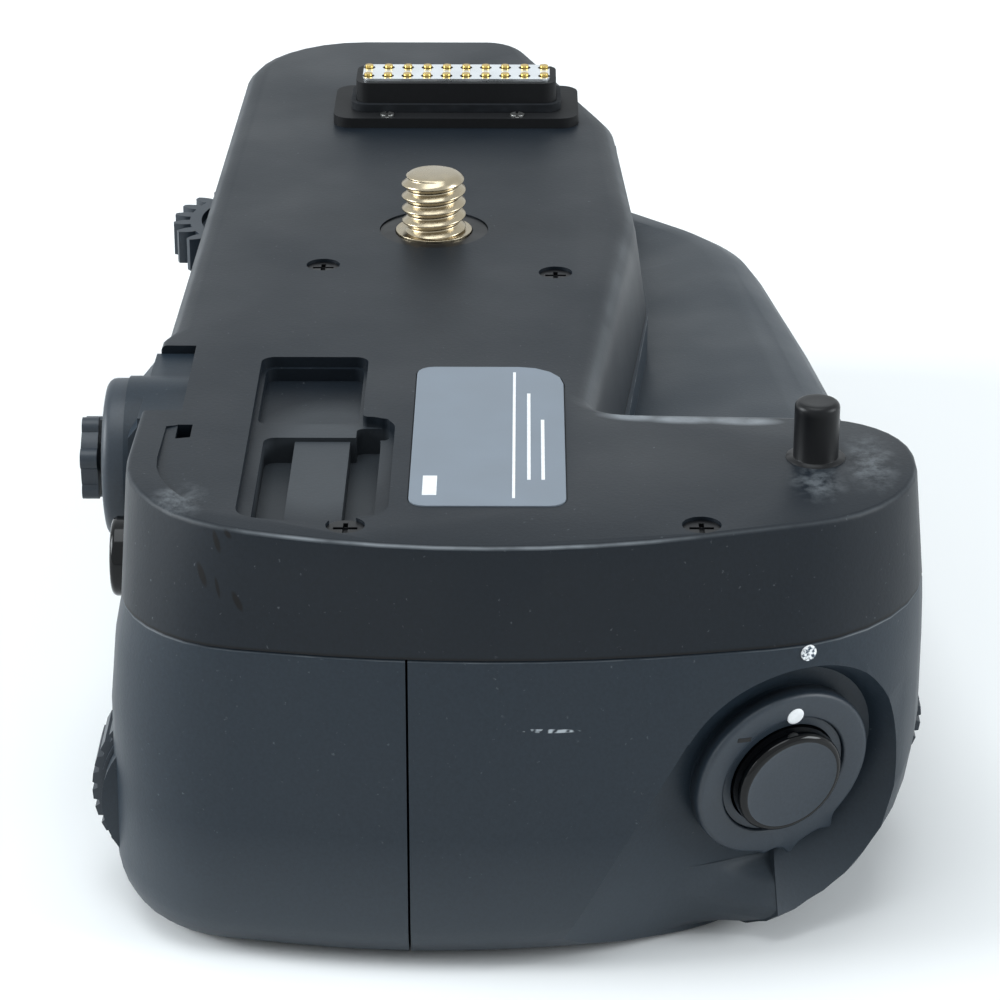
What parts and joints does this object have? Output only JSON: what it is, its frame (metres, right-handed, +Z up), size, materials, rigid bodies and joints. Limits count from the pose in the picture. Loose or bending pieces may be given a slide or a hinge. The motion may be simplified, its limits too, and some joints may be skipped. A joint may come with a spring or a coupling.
{
  "type": "camera battery grip",
  "caption": "Vertical battery grip for a camera body, with mounting screw and wheel, guide pin, connector, shutter release with lock ring, dials, selector and a slide-out battery tray.",
  "frame": {"origin": "centre of the base face, under the middle of the housing's length", "axes": "+X along the grip from the shutter end to the door end, -Y towards the camera's front, +Z up, out of the mating face"},
  "size_m": [0.1417, 0.0751, 0.0459],
  "materials": {
    "cover_plastic": "fine matte texture",
    "shell_plastic": "fine matte texture",
    "inner_plastic": "plain",
    "rubber": "matte",
    "black_gloss": "polished",
    "control_plastic": "satin",
    "nickel": "worn nickel plate",
    "steel": "satin",
    "black_steel": "blackened",
    "contact_metal": "gold plated",
    "board": "solder mask",
    "label": "satin foil"
  },
  "bodies": {
    "housing": {"top_cover": "cover_plastic", "front_shell": "shell_plastic", "rear_shell": "shell_plastic", "chamber_sleeve": "inner_plastic", "connector_block": "inner_plastic", "grip_rubber": "rubber", "thumb_rubber": "rubber", "connector_gasket": "rubber", "shutter_bush": "black_gloss", "selector_base": "control_plastic", "main_dial_axle": "steel", "sub_dial_axle": "steel", "wheel_axle": "steel", "gear_bracket": "steel", "screw_bush": "steel", "tripod_socket": "steel", "connector_screws": "steel", "guide_pin": "black_steel", "base_screws": "black_steel", "cover_screws": "black_steel", "connector_strip": "contact_metal", "connector_pins": "contact_metal", "chamber_contacts": "contact_metal", "circuit_board": "board", "shutter_switch": "board", "thumb_switch": "board", "label_plate": "label"},
    "tray": {"battery_tray": "inner_plastic", "tray_door": "shell_plastic", "door_seal": "rubber", "tray_contacts": "contact_metal"},
    "latch": {"latch_knob": "control_plastic", "latch_bar": "steel"},
    "shutter": {"shutter_button": "black_gloss"},
    "lock": {"lock_ring": "control_plastic"},
    "thumb": {"thumb_button": "black_gloss"},
    "gimbal": {"selector_gimbal": "steel"},
    "selector": {"multi_selector": "control_plastic"},
    "main_dial": {"main_dial": "control_plastic"},
    "sub_dial": {"sub_dial": "control_plastic"},
    "screw": {"mounting_screw": "nickel"},
    "wheel": {"attachment_wheel": "control_plastic"}
  },
  "joints": [
    {"name": "tray_slide", "type": "slide", "parent": "housing", "child": "tray", "axis": [1, 0, 0], "range_m": [0, 0.08]},
    {"name": "latch_turn", "type": "hinge", "parent": "tray", "child": "latch", "pos_m": [0.0704, 0.0098, 0.0179], "axis": [1, 0, 0], "range_deg": [0, 90]},
    {"name": "shutter_press", "type": "slide", "parent": "housing", "child": "shutter", "axis": [0.8761, 0.4464, 0.1822], "range_m": [0, 0.0014], "stiffness_N_per_m": 900},
    {"name": "lock_turn", "type": "hinge", "parent": "housing", "child": "lock", "pos_m": [-0.0637, -0.0215, 0.0168], "axis": [-0.8761, -0.4464, -0.1822], "range_deg": [-45, 0]},
    {"name": "thumb_press", "type": "slide", "parent": "housing", "child": "thumb", "axis": [0, -1, 0], "range_m": [0, 0.0008], "stiffness_N_per_m": 900},
    {"name": "selector_yaw", "type": "hinge", "parent": "housing", "child": "gimbal", "pos_m": [-0.03415, 0.03372, 0.0322], "axis": [0, 0, 1], "range_deg": [-6, 6], "stiffness_Nm_per_rad": 0.06},
    {"name": "selector_pitch", "type": "hinge", "parent": "gimbal", "child": "selector", "pos_m": [-0.03415, 0.03372, 0.0322], "axis": [1, 0, 0], "range_deg": [-6, 6], "stiffness_Nm_per_rad": 0.06},
    {"name": "main_dial_spin", "type": "hinge", "parent": "housing", "child": "main_dial", "pos_m": [-0.0569, 0.02844, 0.0103], "axis": [1, 0, 0], "continuous": true},
    {"name": "sub_dial_spin", "type": "hinge", "parent": "housing", "child": "sub_dial", "pos_m": [-0.0489, -0.02905, 0.0135], "axis": [1, 0, 0], "continuous": true},
    {"name": "screw_spin", "type": "hinge", "parent": "housing", "child": "screw", "pos_m": [0.00535, 0.0088, 0.04], "axis": [0, 0, 1], "continuous": true},
    {"name": "wheel_spin", "type": "hinge", "parent": "housing", "child": "wheel", "pos_m": [0.01963, 0.025, 0.034], "axis": [0, 0, 1], "continuous": true}
  ],
  "couplings": [
    {"joint": "wheel_spin", "follows": "screw_spin", "ratio": -1.0769}
  ]
}
